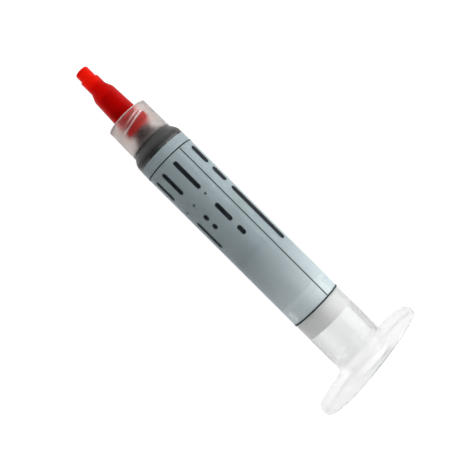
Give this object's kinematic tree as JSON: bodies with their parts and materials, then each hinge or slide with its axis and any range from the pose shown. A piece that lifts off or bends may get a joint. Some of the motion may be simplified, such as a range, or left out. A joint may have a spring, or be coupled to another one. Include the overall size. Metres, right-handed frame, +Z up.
{
  "type": "solder paste syringe",
  "caption": "Prefilled dispensing syringe: clear plastic barrel with oval flange and screw collar, red tip cap, wrapped label, metal paste and a sliding piston.",
  "frame": {"origin": "centre of the flange's back face, on the barrel's axis", "axes": "+X along the barrel from the tip to the flange, +Z up, +Y along the oval flange's long side; the syringe lies on the flange's long side and on the front of the tube"},
  "size_m": [0.0835, 0.0318, 0.0164],
  "materials": {
    "barrel": "natural translucent polypropylene, smooth",
    "cap": "red translucent polyethylene, satin",
    "label": "silver grey film with thin dark rules",
    "paste": "fine grey metal powder in flux, smooth and moist",
    "piston": "white polyethylene, satin"
  },
  "bodies": {
    "barrel": {"barrel": "barrel", "label": "label", "solder_paste": "paste"},
    "piston": {"piston": "piston"},
    "tip_cap": {"tip_cap": "cap"}
  },
  "joints": [
    {"name": "piston_slide", "type": "slide", "parent": "barrel", "child": "piston", "axis": [-1, 0, 0], "range_m": [0, 0.0408], "deforming": ["solder_paste"]},
    {"name": "cap_off", "type": "slide", "parent": "barrel", "child": "tip_cap", "axis": [-1, 0, 0], "range_m": [0, 0.015]}
  ]
}
